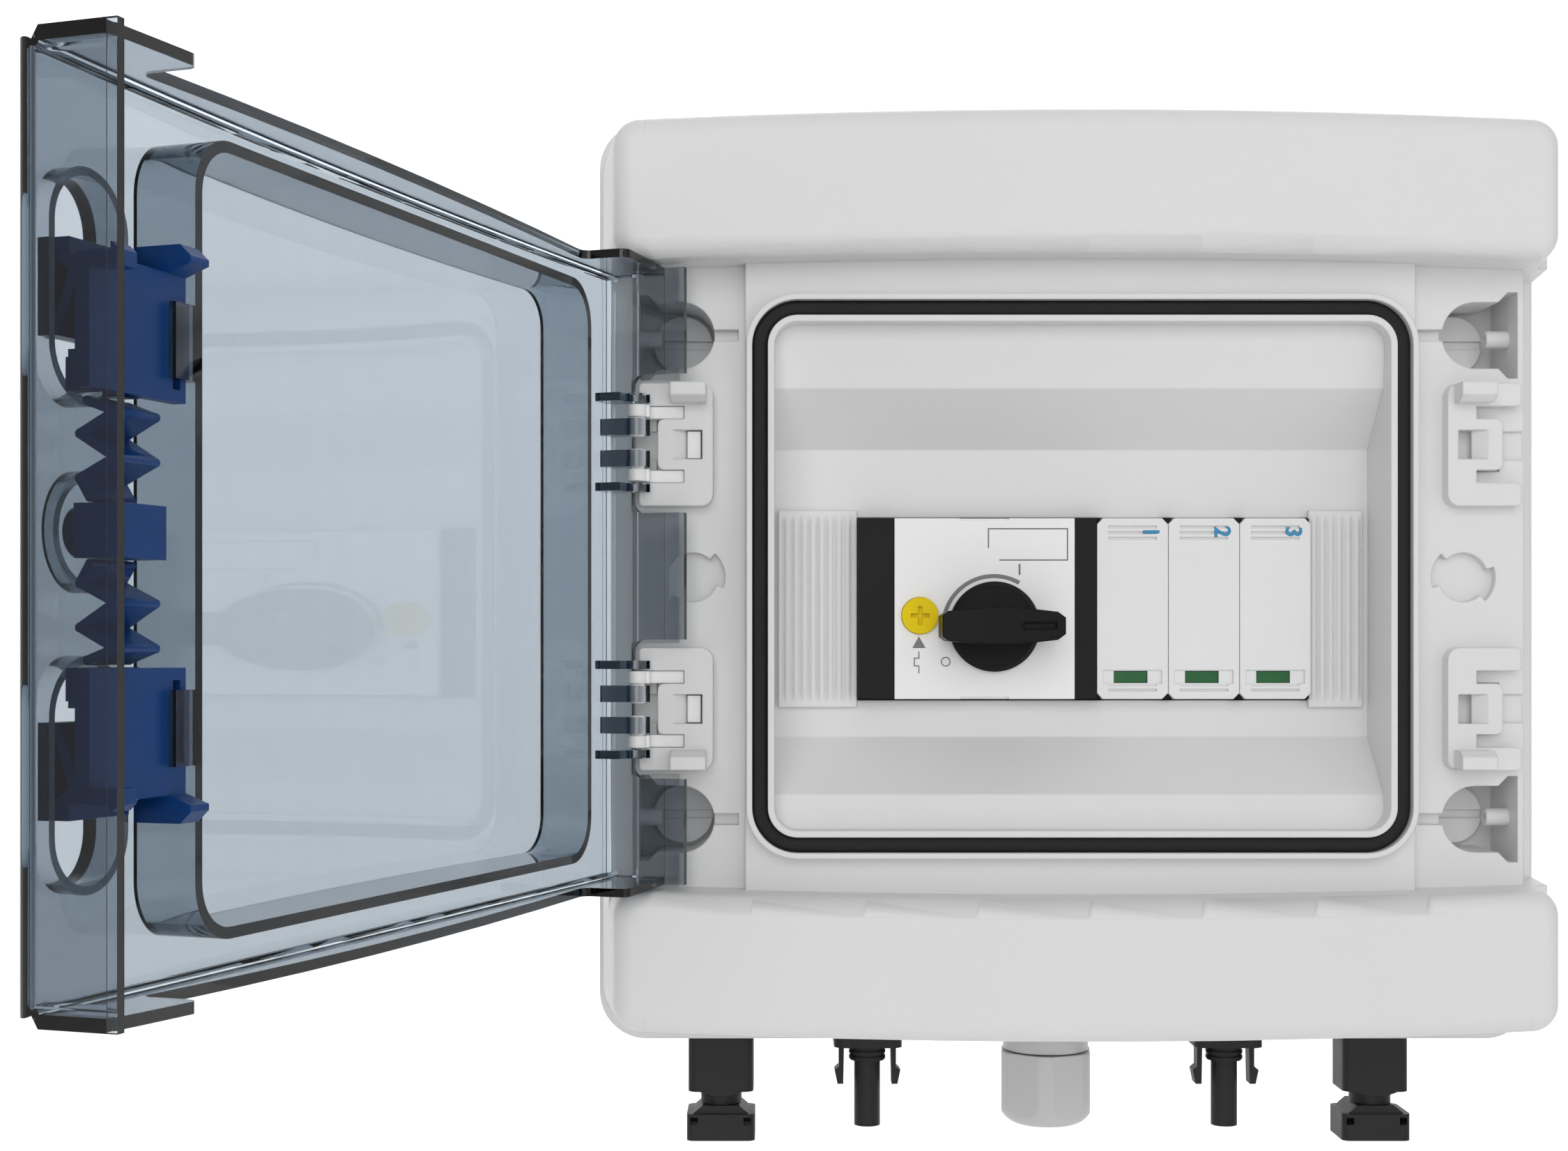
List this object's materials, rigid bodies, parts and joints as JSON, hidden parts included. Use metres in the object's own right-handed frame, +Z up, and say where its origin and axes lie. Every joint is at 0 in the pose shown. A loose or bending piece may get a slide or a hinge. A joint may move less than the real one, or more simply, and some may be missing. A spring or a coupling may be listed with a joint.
{
  "type": "photovoltaic string combiner box",
  "caption": "Wall box for a photovoltaic string: clear hinged door, rotary isolator, plug-in surge arresters, panel plugs and a cable gland.",
  "frame": {"origin": "centre of the back face that rests on the wall", "axes": "+X to the user's right, -Y out of the wall towards the user, +Z up"},
  "size_m": [0.3063, 0.3153, 0.2679],
  "materials": {
    "shell_grey": "fine moulded texture",
    "clear_smoke": "clear, slightly smoked",
    "device_black": "satin",
    "plate_white": "satin",
    "cartridge_white": "satin",
    "knob_black": "satin",
    "button_yellow": "satin",
    "catch_blue": "satin",
    "flag_green": "gloss",
    "insert_white": "satin",
    "connector_black": "satin",
    "gland_grey": "satin",
    "steel": "zinc plated",
    "contact_metal": "tinned",
    "seal_black": "matte",
    "wire_red": "matte",
    "wire_black": "matte"
  },
  "bodies": {
    "housing": {"base_shell": "shell_grey", "base_seal": "seal_black", "front_cover": "shell_grey", "cover_screws": "insert_white", "door_gasket": "seal_black", "hinge_insert_upper": "insert_white", "hinge_insert_lower": "insert_white", "blank_left": "shell_grey", "blank_right": "shell_grey", "din_rail": "steel", "rail_screws": "steel", "switch_body": "device_black", "switch_faceplate": "plate_white", "switch_clip": "insert_white", "aux_contact": "device_black", "spd_base": "device_black", "spd_clip": "insert_white", "terminal_screws": "steel", "pv_socket_left": "connector_black", "pv_socket_right": "connector_black", "pv_plug_left": "connector_black", "pv_plug_right": "connector_black", "pv_contacts": "contact_metal", "pv_seals": "seal_black", "pv_locknuts": "connector_black", "gland_body": "gland_grey", "gland_nut": "gland_grey", "gland_seal": "seal_black", "gland_locknut": "gland_grey", "wire_positive_in": "wire_red", "wire_negative_in": "wire_black", "wire_positive_out": "wire_red", "wire_negative_out": "wire_black"},
    "door": {"door": "clear_smoke", "catch_core": "catch_blue"},
    "catch_high": {"catch_upper": "catch_blue", "catch_spring_upper": "catch_blue"},
    "catch_low": {"catch_lower": "catch_blue", "catch_spring_lower": "catch_blue"},
    "knob": {"switch_knob": "knob_black"},
    "button": {"test_button": "button_yellow"},
    "cartridge_1": {"spd_cartridge_1": "cartridge_white", "status_flag_1": "flag_green", "cartridge_blades_1": "contact_metal"},
    "cartridge_2": {"spd_cartridge_2": "cartridge_white", "status_flag_2": "flag_green", "cartridge_blades_2": "contact_metal"},
    "cartridge_3": {"spd_cartridge_3": "cartridge_white", "status_flag_3": "flag_green", "cartridge_blades_3": "contact_metal"}
  },
  "joints": [
    {"name": "door_swing", "type": "hinge", "parent": "housing", "child": "door", "pos_m": [-0.1076, -0.1054, 0], "axis": [0, 0, 1], "range_deg": [-6, 109]},
    {"name": "catch_squeeze_high", "type": "slide", "parent": "door", "child": "catch_high", "axis": [0, 0, -1], "range_m": [0, 0.004], "stiffness_N_per_m": 400, "deforming": ["catch_spring_upper"]},
    {"name": "catch_squeeze_low", "type": "slide", "parent": "door", "child": "catch_low", "axis": [0, 0, 1], "range_m": [0, 0.004], "stiffness_N_per_m": 400, "deforming": ["catch_spring_lower"]},
    {"name": "knob_turn", "type": "hinge", "parent": "housing", "child": "knob", "pos_m": [-0.01985, -0.09, -0.012], "axis": [0, -1, 0], "range_deg": [0, 90]},
    {"name": "test_press", "type": "slide", "parent": "housing", "child": "button", "axis": [0, 1, 0], "range_m": [0, 0.0015], "stiffness_N_per_m": 400},
    {"name": "cartridge_pull_1", "type": "slide", "parent": "housing", "child": "cartridge_1", "axis": [0, -1, 0], "range_m": [0, 0.026]},
    {"name": "cartridge_pull_2", "type": "slide", "parent": "housing", "child": "cartridge_2", "axis": [0, -1, 0], "range_m": [0, 0.026]},
    {"name": "cartridge_pull_3", "type": "slide", "parent": "housing", "child": "cartridge_3", "axis": [0, -1, 0], "range_m": [0, 0.026]}
  ]
}
